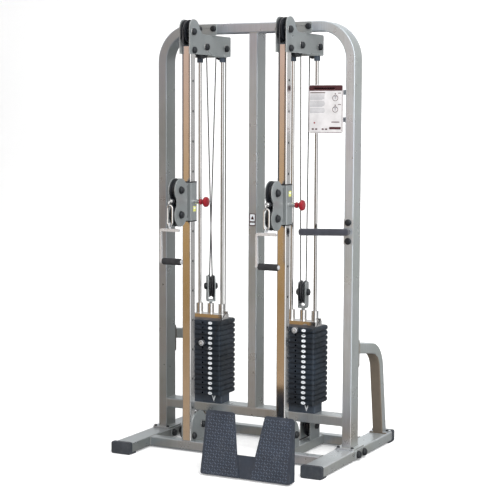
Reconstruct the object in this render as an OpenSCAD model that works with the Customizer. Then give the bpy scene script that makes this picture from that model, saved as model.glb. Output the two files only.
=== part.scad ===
// Dual adjustable cable column machine.
// Millimetres, +Z up, +X to the right, the side a person stands at faces -Y.
// Origin: floor level, middle of the machine.

/* [Overall] */
// Top of the arch above the floor
arch_top = 2108; // [1900:1:2300]
// Distance over the outer faces of the two uprights
frame_width = 1076; // [900:1:1300]
// Distance between the centres of the two columns
column_spacing = 516; // [440:1:620]

/* [Frame tubes] */
// Narrow side of the main tubes
tube_w = 48; // [40:1:60]
// Deep side of the main tubes
tube_d = 92; // [70:1:110]
// Wall of every tube
wall = 3; // [2:0.5:4]
// Centreline radius of the two arch bends
arch_r = 161; // [120:1:200]
// Width of the foot tubes
foot_w = 100; // [70:1:120]
// Underside of the foot tubes
foot_z = 6; // [4:1:12]

/* [Pulleys and cable] */
// Outer radius of every pulley
pul_r = 57; // [45:1:65]
// Radius at which the cable runs
run_r = 51; // [40:1:60]
// Radius of the coated cable
cable_r = 3; // [2:0.5:4]
// Axle radius
axle_r = 8; // [6:0.5:10]

/* [Weight stack] */
// Thickness of one plate
plate_t = 25.4; // [20:0.1:30]
// Plates in one stack
plate_n = 15; // [8:1:20]
// Plates picked up on the left
lift_l = 5; // [1:1:14]
// Plates picked up on the right
lift_r = 1; // [1:1:14]
// Turn of the left floating pulley
yaw_l = 38; // [-45:1:45]
// Turn of the right floating pulley
yaw_r = 10; // [-45:1:45]

/* [Columns] */
// Pitch of the adjustment holes
hole_pitch = 146; // [100:1:160]
// Height of the lowest adjustment hole
hole_low = 217.6; // [150:0.1:300]
// Number of adjustment holes
hole_n = 12; // [6:1:16]
// Hole in which the pull pins stand
hole_used = 7; // [1:1:11]

/* [Hidden] */
$fn = 48;
sy = 85;                                  // frame plane to the origin
xs = column_spacing/2;
xu = frame_width/2 - tube_w/2;            // upright centre
ft = foot_z + tube_w;                     // top of the floor tubes
fl = 8;                                   // flange thickness
bend_out = arch_r + tube_w/2;
z_leg = arch_top - bend_out;
bar_b = arch_top - tube_w;                // underside of the arch bar
cb_z = 163;                               // stack crossbar underside
cb_t = cb_z + tube_w;
ped_h = 44;
st_z = cb_t + ped_h;                      // underside of the lowest plate
st_t = st_z + plate_n*plate_t;            // top of the top plate
head_h = 24;
rod_x = 63.5; rod_r = 8.5;
cy = -226;                                // column centre
col_w = 48; col_b = ft; col_t = 1990;
run_y = -284;                             // front cable line
zc = hole_low + hole_used*hole_pitch;     // carriage centre height
sl_h = 196; sl_o = 30; sl_i = 26;         // sleeve
py = run_y - run_r;                       // carriage pulley centre line
pz = 59.5;                                // carriage pulleys above and below centre
piv_y = -271;                             // swivel pin line
tf = [run_y + run_r, 2060];               // top front pulley
tm = [-2*run_r, 1992];                    // top middle pulley
tr = [2*run_r, 1992];                     // top rear pulley
br = [2*run_r, 120];                      // base rear pulley
bf = [-185 + run_r, 120];                 // base front pulley
fz = 800;                                 // floating pulley centre height
rear_y = tr[0] + run_r;                   // rear cable line
up_ang = atan2(-(tf[0]-tm[0]), tf[1]-tm[1]);
hy = -404; hz = 1130; gz = 960;           // handle eye, grip heights
hk_z = zc + pz - run_r;                   // cable height at the nip
pin_l = st_t - (lift_l - 0.5)*plate_t;
pin_r = st_t - (lift_r - 0.5)*plate_t;

// ---- shared shapes ----
function corner(cx,cy,r,a0,n) = [for(i=[0:n]) [cx+r*cos(a0+90*i/n), cy+r*sin(a0+90*i/n)]];
function rr(w,d,r=6,n=4) = concat(corner(w/2-r,d/2-r,r,0,n), corner(-w/2+r,d/2-r,r,90,n),
    corner(-w/2+r,-d/2+r,r,180,n), corner(w/2-r,-d/2+r,r,270,n));
function arcp(cx,cy,r,a0,a1,n) = [for(i=[0:n]) [cx+r*cos(a0+(a1-a0)*i/n), cy+r*sin(a0+(a1-a0)*i/n)]];

module placed() { translate([0,sy,0]) children(); }
module side(x) { placed() translate([x,0,0]) children(); }
// extrusion along +Z, +X and +Y, section centred on the line
module tz(w,d,h,r=6) { linear_extrude(h) polygon(rr(w,d,r)); }
module tx(d,h,l,r=6) { rotate([90,0,90]) linear_extrude(l) polygon(rr(d,h,r)); }
module ty(w,h,l,r=6) { translate([0,l,0]) rotate([90,0,0]) linear_extrude(l) polygon(rr(w,h,r)); }
module hz_tube(w,d,h) { difference() { tz(w,d,h); translate([0,0,-1]) tz(w-2*wall,d-2*wall,h+2,4); } }
module hx_tube(d,h,l) { difference() { tx(d,h,l); translate([-1,0,0]) tx(d-2*wall,h-2*wall,l+2,4); } }
module hy_tube(w,h,l) { difference() { ty(w,h,l); translate([0,-1,0]) ty(w-2*wall,h-2*wall,l+2,4); } }
// plate in the YZ plane, from x0 to x0+t
module yz(x0,t) { translate([x0,0,0]) rotate([90,0,90]) linear_extrude(t) children(); }
module xcyl(r,x0,x1) { translate([x0,0,0]) rotate([0,90,0]) cylinder(r=r,h=x1-x0); }
module ycyl(r,y0,y1) { translate([0,y1,0]) rotate([90,0,0]) cylinder(r=r,h=y1-y0); }
// dome that covers a bolt end, standing on z = 0
module dome(r=15,h=15) { rotate_extrude() polygon([[0,0],[r,0],[r,h*0.45],[r*0.93,h*0.72],[r*0.76,h*0.9],[r*0.5,h],[0,h]]); }
module xdome(x,s=1,r=15,h=15) { translate([x,0,0]) rotate([0,s*90,0]) dome(r,h); }

// ---- frame ----
module arch_skin(w,d,ext) {
  r = w < tube_w ? 4 : 6;
  for(s=[-1,1]) translate([s*xu,0,ft+fl-ext]) tz(w,d,z_leg-ft-fl+ext,r);
  translate([xu-arch_r,0,z_leg]) rotate([90,0,0]) rotate_extrude(angle=90) translate([arch_r,0]) polygon(rr(w,d,r));
  translate([-xu+arch_r,0,z_leg]) rotate([90,0,0]) rotate([0,0,90]) rotate_extrude(angle=90) translate([arch_r,0]) polygon(rr(w,d,r));
  translate([-xu+arch_r,0,arch_top-tube_w/2]) rotate([90,0,90]) linear_extrude(2*(xu-arch_r)) polygon(rr(d,w,r));
}
module arch_frame() { color("silver") placed() {
  difference() { arch_skin(tube_w,tube_d,0); arch_skin(tube_w-2*wall,tube_d-2*wall,2); }
  for(s=[-1,1]) translate([s*xu,0,ft]) difference() { tz(foot_w-4,132,fl,8); translate([0,0,-1]) tz(tube_w-2*wall,tube_d-2*wall,fl+2,4); }
} }
module center_frame() { color("silver") placed() {
  translate([-xu+tube_w/2,0,cb_z+tube_w/2]) hx_tube(tube_d,tube_w,2*xu-tube_w);
  difference() { translate([0,0,cb_t-0.5]) tz(tube_w,tube_d,bar_b-cb_t+0.5); translate([0,0,cb_t+0.5]) tz(tube_w-2*wall,tube_d-2*wall,bar_b-cb_t+1,4); }
} }
module base_frame() { color("silver") placed() {
  for(s=[-1,1]) {
    translate([s*xu,-445,foot_z+tube_w/2]) hy_tube(foot_w,tube_w,894);
    translate([s>0?150:-xu+foot_w/2-0.5,cy,foot_z+tube_w/2]) hx_tube(tube_w,tube_w,xu-foot_w/2-150+0.5);
    translate([s*xs,cy+tube_w/2-0.5,foot_z+tube_w/2]) hy_tube(tube_w,tube_w,404);
  }
  translate([-xu+foot_w/2-0.5,225,foot_z+tube_w/2]) hx_tube(tube_w,tube_w,2*xu-foot_w+1);
} }
module foot_cap() {
  difference() { ty(108,60,22,10); translate([0,6,0]) ty(foot_w+0.2,tube_w+0.2,20,6); }
  translate([-50,20,-30]) cube([100,44,6]);
}
module end_caps() { color("black") placed() {
  for(s=[-1,1]) {
    translate([s*xu,-451,30]) foot_cap();
    translate([s*xu,455,30]) rotate([0,0,180]) foot_cap();
    translate([s*xs,cy,col_t-18]) { tz(col_w-2*wall-0.1,col_w-2*wall-0.1,18,4); translate([0,0,18]) tz(col_w,col_w,5,6); }
    translate([s*147,cy,foot_z+tube_w/2]) rotate([0,0,s>0?0:180]) { tx(tube_w,tube_w,3); translate([2.5,0,0]) tx(tube_w-2*wall-0.1,tube_w-2*wall-0.1,20,4); }
  }
} }
// tube along +X, bent down by the angle whose cosine is 0.28, then straight
module brace_path(w,d,e) {
  L1 = 184; A = 73.7398; R = 130; L2 = 352; r = w < tube_w-2 ? 4 : 6;
  translate([-e,0,0]) rotate([90,0,90]) linear_extrude(L1+e) polygon(rr(w,d,r));
  translate([L1,-R,0]) rotate([0,0,90]) rotate_extrude(angle=-A) translate([R,0]) polygon(rr(w,d,r));
  translate([L1,-R,0]) multmatrix([[0.28,0.96,0,0],[-0.96,0.28,0,0],[0,0,1,0],[0,0,0,1]])
    translate([0,R,0]) rotate([90,0,90]) linear_extrude(L2+e) polygon(rr(w,d,r));
}
module brace_at() { translate([0,40,537]) rotate([0,0,90]) rotate([90,0,0]) rotate([0,0,-8]) children(); }
module rear_braces() { color("silver") placed() for(s=[-1,1]) translate([s*xu,0,0]) difference() {
  union() {
    intersection() {
      brace_at() brace_path(52,tube_w+6,0);
      translate([-60,tube_d/2+6,ft+6]) cube([120,500,600]);
    }
    translate([0,tube_d/2,511]) ty(tube_w,134,7,5);
    translate([0,394,ft]) tz(foot_w-8,76,7,6);
  }
  brace_at() brace_path(45,tube_w-4,5);
} }
module upright_saddles() { color("silver") placed() for(s=[-1,1]) translate([s*xu,0,0]) for(k=[-1,1]) {
  translate([k>0?foot_w/2:-foot_w/2-4,12,0]) rotate([90,0,90]) linear_extrude(4) translate([0,31]) polygon(rr(118,46,7));
} }
module columns() { color("gainsboro") for(x=[-xs,xs]) side(x) translate([0,cy,0]) difference() {
  translate([0,0,col_b]) hz_tube(col_w,col_w,col_t-col_b);
  for(i=[0:hole_n-1]) translate([0,0,hole_low+i*hole_pitch]) xcyl(6,12,40);
} }
module bracket_side(x0) {
  difference() {
    yz(x0,5) polygon(concat([[-268,1953],[148,1953],[152,1957],[152,2046],[148,2052],[-140,2052]],
      arcp(-222,2066,54,10,90,6), arcp(-228,2080,40,90,180,5)));
    translate([0,tf[0],tf[1]]) xcyl(axle_r,-40,40);
    translate([0,tm[0],tm[1]]) xcyl(axle_r,-40,40);
    translate([0,tr[0],tr[1]]) xcyl(axle_r,-40,40);
    translate([0,cy,1972]) xcyl(6,-40,40);
  }
}
module pulley_brackets() { color("lightgray") for(x=[-xs,xs]) side(x) {
  bracket_side(24); bracket_side(-29);
  difference() {
    translate([0,-46,2078]) rotate([90,0,0]) linear_extrude(5) polygon(rr(114,56,8));
    for(k=[-1,1]) translate([k*40,0,2084]) ycyl(5,-60,-40);
  }
  difference() {
    translate([-86,-20,1945]) cube([172,40,9]);
    for(k=[-1,1]) translate([k*rod_x,0,1930]) cylinder(r=rod_r,h=30);
  }
  for(k=[24,-29]) {
    difference() {
      yz(k,5) polygon(concat([[-245,ft],[-95,ft]], arcp(-170,120,75,0,180,14)));
      translate([0,bf[0],bf[1]]) xcyl(axle_r,-40,40);
      translate([0,cy,78]) xcyl(6,-40,40);
    }
    difference() {
      yz(k,5) translate([90,(ft+148)/2]) polygon(rr(112,148-ft,10));
      translate([0,br[0],br[1]]) xcyl(axle_r,-40,40);
    }
  }
} }
module guide_rods() { color("gainsboro") for(x=[-xs,xs]) side(x) for(k=[-1,1])
  translate([k*rod_x,0,cb_t]) cylinder(r=rod_r,h=1952-cb_t); }
module stack_seats() { color("black") for(x=[-xs,xs]) side(x) {
  difference() {
    translate([0,0,cb_t]) tz(174,90,ped_h,7);
    for(k=[-1,1]) translate([k*rod_x,0,cb_t-1]) cylinder(r=rod_r,h=ped_h+2);
  }
  for(k=[-1,1]) translate([k*rod_x,0,1921]) difference() { cylinder(r=15,h=24); translate([0,0,-1]) cylinder(r=rod_r,h=26); }
} }
module one_plate() {
  difference() {
    union() {
      tz(184,154,plate_t,10);
      translate([0,0,1.6]) tz(192,162,plate_t-3.2,12);
      translate([0,0,3.6]) tz(197,167,plate_t-7.2,13);
      translate([0,0,6.6]) tz(200,170,plate_t-13.2,14);
    }
    for(k=[-1,1]) translate([k*rod_x,0,-1]) cylinder(r=9.4,h=plate_t+2);
    translate([0,0,-1]) cylinder(r=10.8,h=plate_t+2);
    translate([0,0,plate_t/2]) ycyl(5.3,-90,0);
  }
}
module plates(a,b) { for(i=[a:b]) translate([0,0,st_t-i*plate_t]) one_plate(); }
module resting_plates() { color("black") {
  side(-xs) plates(lift_l+1,plate_n);
  side(xs) plates(lift_r+1,plate_n);
} }
module grab_bar() { color("dimgray") placed() {
  translate([xu,-tube_d/2-4,1108]) ty(tube_w,126,4,7);
  translate([xu,0,1108]) ycyl(13,-76,-tube_d/2-3);
  translate([xu+6,-72,1108]) rotate([0,0,203.7]) rotate([0,90,0]) rotate_extrude()
    polygon([[0,-6],[9,-5],[15,0],[17,7],[17,220],[15,227],[9,232],[0,233]]);
} }
module placard() { color("white") placed() {
  translate([385,-36,1691]) ty(180,230,3,9);
  for(z=[1640,1770]) { translate([446,-33.5,z-12]) cube([4,35,24]); translate([446,-2,z-12]) cube([xu-tube_w/2-446,4,24]); }
} }
module foot_brace() { color("black") side(xs) {
  th = 11;
  translate([0,-625,8]) rotate([-th,0,0]) {
    for(s=[-1,1]) translate([0,5,0]) rotate([90,0,0]) linear_extrude(5) polygon(
      s>0 ? concat([[28,0],[220,0],[228,8],[224,282]], arcp(212,284,12,0,90,4), arcp(90,282,14,90,160,4))
          : concat([[-220,0],[-28,0]], arcp(-90,282,14,20,90,4), arcp(-212,284,12,90,180,4), [[-224,282],[-228,8]]));
    translate([-70,4.5,0]) cube([140,5,106]);
  }
  for(s=[-1,1]) yz(s>0?222:-227,5) polygon([[-620,8],[-563,8],[-563,285],[-569.5,285]]);
  translate([-224,-570,10]) cube([448,7,40]);
  translate([0,-568,foot_z+tube_w/2]) hy_tube(tube_w,tube_w,568-250);
} }
module bolt_thru(y,z,gap) { translate([0,y,z]) {
  xcyl(axle_r-0.05,-29,29); xdome(29,1,17,15); xdome(-29,-1,17,15);
  if(gap) { xcyl(12,13.2,23.95); xcyl(12,-23.95,-13.2); } } }
module frame_bolts() { color("black") {
  for(x=[-xs,xs]) side(x) {
    bolt_thru(tf[0],tf[1],true); bolt_thru(tm[0],tm[1],true); bolt_thru(tr[0],tr[1],true);
    bolt_thru(bf[0],bf[1],true); bolt_thru(br[0],br[1],true);
    for(z=[1972,78]) for(k=[-1,1]) translate([0,cy,z]) xdome(k*29,k,16.5,14);
    for(k=[-1,1]) translate([k*40,-51,2084]) rotate([90,0,0]) dome(15,12);
  }
  placed() {
    for(z=[1064,1153]) translate([xu,-tube_d/2-4,z]) rotate([90,0,0]) dome(16,12);
    for(s=[-1,1]) {
      for(z=[472,570.5]) translate([s*xu,tube_d/2+7,z]) rotate([-90,0,0]) dome(6,6);
      for(k=[-1,1]) translate([s*xu+k*37,394,ft+7]) dome(8,7);
      for(k=[-1,1]) for(y=[-23,47]) translate([s*xu,y,30]) xdome(k*(foot_w/2+4),k,18,15);
      for(k=[-1,1]) translate([s*xu+k*36,-56,ft+fl]) dome(8,8);
    }
  }
} }

// ---- cable ----
module arc_run(c,a0,a1) { // in the YZ plane, angle from +Y towards +Z
  translate([0,c[0],c[1]]) rotate([90,0,90]) rotate([0,0,a0]) rotate_extrude(angle=a1-a0) translate([run_r,0]) circle(r=cable_r,$fn=20);
}
module run(a,b,r=cable_r) { // straight piece between two points
  d = b-a; l = norm(d);
  translate(a) rotate([0,acos(d[2]/l),atan2(d[1],d[0])]) cylinder(r=r,h=l,$fn=20);
}
module cable_fixed() {
  u = [0,cos(up_ang),sin(up_ang)]*run_r;
  arc_run(tf,up_ang,180);
  g = [0,sin(up_ang),-cos(up_ang)]*0.03;   // parting at the two tangent points
  run([0,tf[0],tf[1]]+u+g,[0,tm[0],tm[1]]+u-g);
  arc_run(tm,0,up_ang);
  arc_run(tr,0,180);
  run([0,rear_y,br[1]],[0,rear_y,tr[1]]);
  arc_run(br,-90,0);
  run([0,bf[0],bf[1]-run_r],[0,br[0],br[1]-run_r]);
  arc_run(bf,180,270);
}
module cables() { color("black") for(x=[-xs,xs]) side(x) cable_fixed(); }
module cable_front() { color("black") run([0,run_y,zc+pz],[0,run_y,tf[1]]); }
module cable_rear() { color("black") run([0,bf[0]-run_r,bf[1]],[0,bf[0]-run_r,zc-30]); }
module cable_stack(w) { color("black") {
  run([run_r*sin(w),-run_r*cos(w),fz],[0,-run_r,tm[1]-0.5]);
  run([-run_r*sin(w),run_r*cos(w),fz],[0,run_r,tr[1]-0.5]);
} }
module cable_front_left() { side(-xs) cable_front(); }
module cable_front_right() { side(xs) cable_front(); }
module cable_rear_left() { side(-xs) cable_rear(); }
module cable_rear_right() { side(xs) cable_rear(); }
module cable_stack_left() { side(-xs) cable_stack(yaw_l); }
module cable_stack_right() { side(xs) cable_stack(yaw_r); }

// ---- pulleys ----
module pulley() { color("black") rotate([0,90,0]) rotate_extrude() polygon([
  [axle_r+0.05,-13],[17,-13],[19,-7],[40,-7],[43,-12],[pul_r-1,-12],[pul_r,-11],[pul_r,-7.5],[run_r-3.1,-3.3],
  [run_r-3.1,3.3],[pul_r,7.5],[pul_r,11],[pul_r-1,12],[43,12],[40,7],[19,7],[17,13],[axle_r+0.05,13]]); }
module at_yz(p) { translate([0,p[0],p[1]]) pulley(); }
module top_front_pulley_left() { side(-xs) at_yz(tf); }
module top_front_pulley_right() { side(xs) at_yz(tf); }
module top_mid_pulley_left() { side(-xs) at_yz(tm); }
module top_mid_pulley_right() { side(xs) at_yz(tm); }
module top_rear_pulley_left() { side(-xs) at_yz(tr); }
module top_rear_pulley_right() { side(xs) at_yz(tr); }
module base_front_pulley_left() { side(-xs) at_yz(bf); }
module base_front_pulley_right() { side(xs) at_yz(bf); }
module base_rear_pulley_left() { side(-xs) at_yz(br); }
module base_rear_pulley_right() { side(xs) at_yz(br); }
module upper_pulley_left() { side(-xs) at_yz([py,zc+pz]); }
module upper_pulley_right() { side(xs) at_yz([py,zc+pz]); }
module lower_pulley_left() { side(-xs) at_yz([py,zc-pz]); }
module lower_pulley_right() { side(xs) at_yz([py,zc-pz]); }
module float_pulley_left() { side(-xs) translate([0,0,fz]) rotate([0,0,yaw_l]) pulley(); }
module float_pulley_right() { side(xs) translate([0,0,fz]) rotate([0,0,yaw_r]) pulley(); }

// ---- carriage ----
module sleeve() { color("silver") {
  translate([0,cy,zc-sl_h/2+6]) difference() { tz(60,60,sl_h-12,5); translate([0,0,-1]) tz(52,52,sl_h,3);
    translate([0,0,sl_h/2-6]) xcyl(5.06,10,40); }
  translate([0,cy,zc]) difference() { xcyl(11.5,29.5,56); xcyl(5.06,20,70); }
  for(z=[86,-86]) difference() {
    union() {
      translate([-9.2,piv_y,zc+z-5.9]) cube([18.4,15.5,11.8]);
      translate([0,piv_y,zc+z-5.9]) cylinder(r=9.6,h=11.8);
    }
    translate([0,piv_y,zc+z-8]) cylinder(r=5.06,h=16);
  }
  // anchor for the end of the cable
  difference() { translate([-9,-196.5,zc-52]) cube([18,18,26]); translate([0,bf[0]-run_r,zc-60]) cylinder(r=cable_r+0.1,h=31); }
} }
module liners() { color("black") translate([0,cy,zc]) for(s=[-1,1]) mirror([0,0,s<0?1:0]) difference() {
  union() { translate([0,0,sl_h/2-6]) tz(61,61,6,5); translate([0,0,sl_h/2-34]) tz(51.9,51.9,29,3); }
  translate([0,0,sl_h/2-36]) tz(col_w+0.2,col_w+0.2,40,6);
} }
module pull_pin() { color("firebrick") translate([0,cy,zc]) {
  xcyl(5,24.6,66);
  rotate([0,90,0]) translate([0,0,62.4]) rotate_extrude() polygon([[0,0],[13,0],[14,2],[14,9],[11,12],[11,18],[15,22],[22,26],[25,30],[25,36],[23,41],[18,43.5],[0,44.5]]);
} }
module fig8(x0,t) { difference() {
  yz(x0,t) polygon(concat(arcp(py,zc+pz,57,20,228,18), arcp(py,zc-pz,57,132,340,18), [[-274,zc-66],[-274,zc+66]]));
  for(k=[-1,1]) translate([0,py,zc+k*pz]) xcyl(axle_r-0.05,-30,30);
} }
module housing() { color("lightgray") {
  for(x0=[15,-19]) {
    fig8(x0,4);
  }
  translate([-15.5,-277.4,zc-66]) cube([31,6.4,132]);
  translate([0,piv_y,zc-78]) cylinder(r=6.4,h=156);
  for(k=[-1,1]) {
    translate([0,piv_y,k>0?zc+77.5:zc-95]) cylinder(r=5,h=17.5);
    translate([0,py,zc+k*pz]) { xcyl(axle_r,-19,19); xdome(19,1,17,15); xdome(-19,-1,17,15); xcyl(12,13.1,15.5); xcyl(12,-15.5,-13.1); }
  }
} }
module stadium(r,L,t) { // ring standing in the XZ plane
  for(s=[-1,1]) translate([s*r,0,-L/2]) cylinder(r=t,h=L,$fn=20);
  translate([0,0,L/2]) rotate([90,0,0]) rotate_extrude(angle=180) translate([r,0]) circle(r=t,$fn=20);
  translate([0,0,-L/2]) rotate([90,0,0]) rotate([0,0,180]) rotate_extrude(angle=180) translate([r,0]) circle(r=t,$fn=20);
}
module snap_hook() { color("gainsboro") {
  translate([0,-390,hk_z]) sphere(r=15);
  translate([0,0,hk_z]) ycyl(5,-408,-400);
  translate([0,hy-4,hk_z-11]) rotate([0,0,90]) rotate([90,0,0]) rotate_extrude() translate([11,0]) circle(r=3.5,$fn=20);
  translate([0,hy-4,hk_z-23]) cylinder(r=5,h=4);
  translate([0,hy-4,(hk_z-20+hz+3)/2]) stadium(13,hk_z-20-hz-3-26,4.5);
} }
module handle_frame() { color("gainsboro") {
  translate([0,hy-4,hz+3]) rotate([0,0,90]) rotate([90,0,0]) rotate_extrude()
    polygon([[6.5,-1.5],[7.4,-2.8],[9,-3.5],[11,-3.5],[12.6,-2.8],[13.5,-1.5],[13.5,1.5],[12.6,2.8],[11,3.5],[9,3.5],[7.4,2.8],[6.5,1.5]]);
  translate([0,hy-4,hz-15]) cylinder(r=5.5,h=10);
  translate([0,hy-4+6,0]) rotate([90,0,0]) linear_extrude(12) polygon(concat(
    arcp(-42,hz-24,12,180,90,4), arcp(46,hz-20,8,90,-20,4), [[50,hz-26]],
    arcp(-40,hz-32,6,90,180,4), arcp(-50,gz,10,-40,-90,3), arcp(-48,gz,6,-100,-180,3)));
  translate([-50,hy-4,gz]) xcyl(7,0,112);
  translate([62,hy-4,gz]) rotate([0,90,0]) dome(11,5);
  translate([-53.5,hy-4,gz]) rotate([0,-90,0]) dome(7,4);
} }
module grip() { color("black") translate([0,hy-4,gz]) rotate([0,90,0]) rotate_extrude()
  polygon([[7.06,-39],[13,-39],[16,-36],[16,58],[13,61.5],[7.06,61.5]]); }

// ---- weight stack ----
module stack_head(n) { color("gainsboro") {
  difference() {
    union() {
      translate([0,0,st_t]) tz(174,70,head_h,6);
      for(k=[-1,1]) translate([k*rod_x,0,st_t+head_h-1]) cylinder(r=18,h=52);
      translate([0,0,st_t+head_h-1]) cylinder(r=17.5,h=53);
      translate([86,-8,st_t+head_h-14]) cube([9,16,30]);
    }
    for(k=[-1,1]) translate([k*rod_x,0,st_t-1]) cylinder(r=rod_r+0.1,h=90);
    translate([0,0,st_t+head_h+30]) cylinder(r=8.06,h=40);
    translate([80,0,st_t+head_h+8]) xcyl(3,0,20);
  }
  difference() {
    translate([0,0,st_z+8]) cylinder(r=10,h=st_t-st_z-7);
    for(i=[1:plate_n]) translate([0,0,st_t-(i-0.5)*plate_t]) ycyl(5.1,-14,14);
  }
} }
module selector_pin(z) { color("gainsboro") translate([0,0,z]) {
  ycyl(5,-86,8);
  translate([0,-86,0]) rotate([90,0,0]) rotate_extrude() polygon([[0,-0.5],[9,-0.5],[15,2],[15,13],[13,16],[9,18],[0,18]]);
} }
module float_bracket(w) { color("silver") rotate([0,0,w]) {
  for(x0=[15,-20]) difference() {
    yz(x0,5) translate([0,(722+852)/2]) polygon(rr(60,130,16));
    translate([0,0,fz]) xcyl(axle_r-0.05,-30,30);
  }
  translate([-20,-20,722]) cube([40,40,9]);
  translate([0,0,694]) cylinder(r=8,h=30);
  translate([0,0,fz]) { xcyl(axle_r,-20,20); xdome(20,1,17,15); xdome(-20,-1,17,15); xcyl(12,13.1,15.5); xcyl(12,-15.5,-13.1); }
} }

module sleeve_left() { side(-xs) sleeve(); }
module sleeve_right() { side(xs) sleeve(); }
module liners_left() { side(-xs) liners(); }
module liners_right() { side(xs) liners(); }
module pull_pin_left() { side(-xs) pull_pin(); }
module pull_pin_right() { side(xs) pull_pin(); }
module housing_left() { side(-xs) housing(); }
module housing_right() { side(xs) housing(); }
module snap_hook_left() { side(-xs) snap_hook(); }
module snap_hook_right() { side(xs) snap_hook(); }
module handle_frame_left() { side(-xs) handle_frame(); }
module handle_frame_right() { side(xs) handle_frame(); }
module grip_left() { side(-xs) grip(); }
module grip_right() { side(xs) grip(); }
module stack_head_left() { side(-xs) stack_head(); }
module stack_head_right() { side(xs) stack_head(); }
module lifted_plates_left() { color("black") side(-xs) plates(1,lift_l); }
module lifted_plates_right() { color("black") side(xs) plates(1,lift_r); }
module selector_pin_left() { side(-xs) selector_pin(pin_l); }
module selector_pin_right() { side(xs) selector_pin(pin_r); }
module float_bracket_left() { side(-xs) float_bracket(yaw_l); }
module float_bracket_right() { side(xs) float_bracket(yaw_r); }

// ---- output ----
arch_frame();
center_frame();
base_frame();
end_caps();
rear_braces();
upright_saddles();
columns();
pulley_brackets();
guide_rods();
stack_seats();
resting_plates();
grab_bar();
placard();
foot_brace();
frame_bolts();
cables();
cable_front_left();
cable_front_right();
cable_rear_left();
cable_rear_right();
cable_stack_left();
cable_stack_right();
sleeve_left();
liners_left();
pull_pin_left();
housing_left();
upper_pulley_left();
lower_pulley_left();
snap_hook_left();
handle_frame_left();
grip_left();
top_front_pulley_left();
top_mid_pulley_left();
top_rear_pulley_left();
base_front_pulley_left();
base_rear_pulley_left();
stack_head_left();
lifted_plates_left();
selector_pin_left();
float_bracket_left();
float_pulley_left();
sleeve_right();
liners_right();
pull_pin_right();
housing_right();
upper_pulley_right();
lower_pulley_right();
snap_hook_right();
handle_frame_right();
grip_right();
top_front_pulley_right();
top_mid_pulley_right();
top_rear_pulley_right();
base_front_pulley_right();
base_rear_pulley_right();
stack_head_right();
lifted_plates_right();
selector_pin_right();
float_bracket_right();
float_pulley_right();
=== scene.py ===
import math
import random
import bpy
import bmesh
from mathutils import Matrix, Vector

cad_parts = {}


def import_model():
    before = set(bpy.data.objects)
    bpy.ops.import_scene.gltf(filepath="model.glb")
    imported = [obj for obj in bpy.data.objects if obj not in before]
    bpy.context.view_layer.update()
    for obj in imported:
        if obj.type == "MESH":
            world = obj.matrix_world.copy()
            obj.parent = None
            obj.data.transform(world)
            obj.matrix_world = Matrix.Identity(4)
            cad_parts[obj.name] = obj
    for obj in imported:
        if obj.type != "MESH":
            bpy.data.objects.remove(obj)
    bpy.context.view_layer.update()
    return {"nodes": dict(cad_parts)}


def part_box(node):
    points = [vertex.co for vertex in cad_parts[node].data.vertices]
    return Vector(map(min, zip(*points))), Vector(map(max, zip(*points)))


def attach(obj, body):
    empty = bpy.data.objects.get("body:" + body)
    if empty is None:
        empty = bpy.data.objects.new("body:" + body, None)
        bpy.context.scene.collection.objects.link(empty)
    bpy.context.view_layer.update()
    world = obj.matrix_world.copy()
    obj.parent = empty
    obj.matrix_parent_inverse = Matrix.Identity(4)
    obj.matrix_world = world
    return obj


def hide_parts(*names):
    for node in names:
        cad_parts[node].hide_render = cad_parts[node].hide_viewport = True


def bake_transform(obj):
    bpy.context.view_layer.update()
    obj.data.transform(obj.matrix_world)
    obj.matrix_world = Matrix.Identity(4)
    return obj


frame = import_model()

random.seed(11)
N = frame["nodes"]
COL = bpy.context.scene.collection
SIDES = (("left", -0.258), ("right", 0.258))
Y0 = 0.085                      # frame plane of the uprights and the stacks

# positions that come from the CAD boxes
cap_lo, cap_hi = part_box("top_front_pulley_left")
PUL_R = (cap_hi.z - cap_lo.z) / 2
TF = Vector((0, (cap_lo.y + cap_hi.y) / 2, (cap_lo.z + cap_hi.z) / 2))


def centre(node):
    a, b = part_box(node)
    return (a + b) / 2


TM, TR = centre("top_mid_pulley_left"), centre("top_rear_pulley_left")
BR, BF = centre("base_rear_pulley_left"), centre("base_front_pulley_left")
RUN = 0.051
CAB = 0.003


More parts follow.
